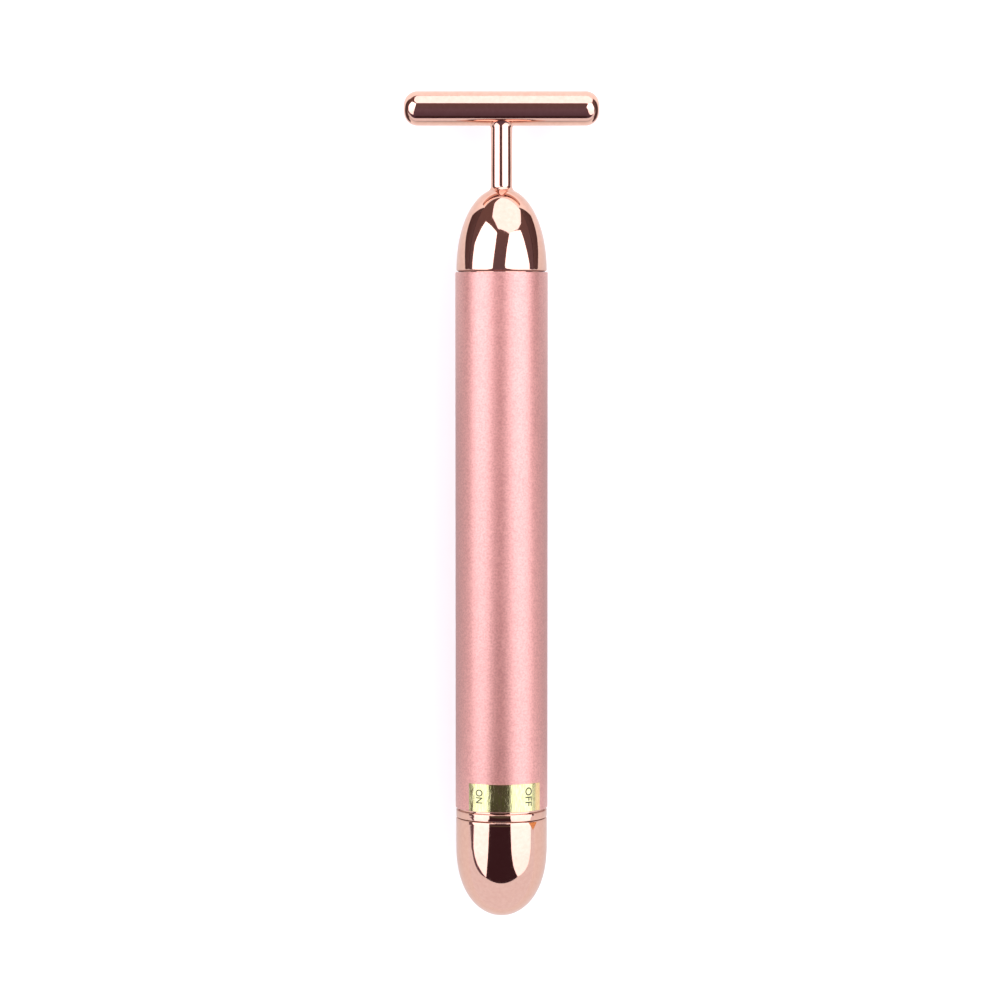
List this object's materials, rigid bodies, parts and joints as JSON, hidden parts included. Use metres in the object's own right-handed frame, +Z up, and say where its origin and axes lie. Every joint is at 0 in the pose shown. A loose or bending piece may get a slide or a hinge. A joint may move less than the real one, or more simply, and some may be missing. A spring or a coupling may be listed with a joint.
{
  "type": "vibrating beauty bar",
  "caption": "Slim battery-powered T-shaped facial massage bar: plated T head and domed nose on a pink anodised barrel, with a twist end cap as its switch.",
  "frame": {"origin": "centre of the bounding box's bottom face: under the middle of the bar's length, on the surface that the barrel lies on", "axes": "+Y along the bar towards its T head, +X along the crossbar, +Z up, towards the switch label"},
  "size_m": [0.0366, 0.1554, 0.0174],
  "materials": {
    "rose_gold": "polished rose-gold plating",
    "pink_anodised": "fine sandblasted, pink anodised",
    "gold_foil": "satin gold foil on film",
    "steel": "plain",
    "brass": "plain",
    "copper": "enamelled copper",
    "iron_core": "stacked laminations",
    "magnet": "sintered ferrite",
    "black_rubber": "moulded",
    "white_plastic": "moulded",
    "cell_wrap": "film over a steel can",
    "red_wire": "extruded insulation",
    "black_wire": "extruded insulation"
  },
  "bodies": {
    "handle": {"barrel_tube": "pink_anodised", "foil_label": "gold_foil", "nose_dome": "rose_gold", "nose_seal_ring": "black_rubber", "stem": "rose_gold", "stem_washer": "steel", "stem_nut": "steel", "crossbar": "rose_gold", "contact_carrier": "white_plastic", "positive_contact": "brass", "holder_left": "white_plastic", "holder_right": "white_plastic", "holder_screw_1": "steel", "holder_screw_2": "steel", "ground_clip": "brass", "motor_sleeve": "black_rubber", "motor_can": "steel", "motor_end_bell": "white_plastic", "front_bush": "brass", "rear_bush": "brass", "brush_left": "brass", "brush_right": "brass", "magnet_left": "magnet", "magnet_right": "magnet", "positive_lead": "red_wire", "negative_lead": "black_wire"},
    "rotor": {"motor_shaft": "steel", "armature_core": "iron_core", "winding_1": "copper", "winding_2": "copper", "winding_3": "copper", "commutator": "copper", "eccentric_weight": "steel"},
    "battery": {"battery_cell": "cell_wrap"},
    "cap": {"cap_shell": "rose_gold", "trim_ring": "rose_gold", "cap_insert": "brass", "cap_seal_ring": "black_rubber", "cap_contact_plate": "steel", "cap_spring": "steel"}
  },
  "joints": [
    {"name": "cap_twist", "type": "hinge", "parent": "battery", "child": "cap", "pos_m": [0, -0.06, 0.00859], "axis": [0, -1, 0], "range_deg": [-1080.1, 72.1]},
    {"name": "cap_advance", "type": "slide", "parent": "handle", "child": "battery", "axis": [0, 1, 0], "range_m": [-0.0045, 0.0003]},
    {"name": "rotor_spin", "type": "hinge", "parent": "handle", "child": "rotor", "pos_m": [0, 0.02, 0.00859], "axis": [0, 1, 0], "continuous": true}
  ],
  "couplings": [
    {"joint": "cap_twist", "follows": "cap_advance", "rad_per_m": 4188.8}
  ]
}
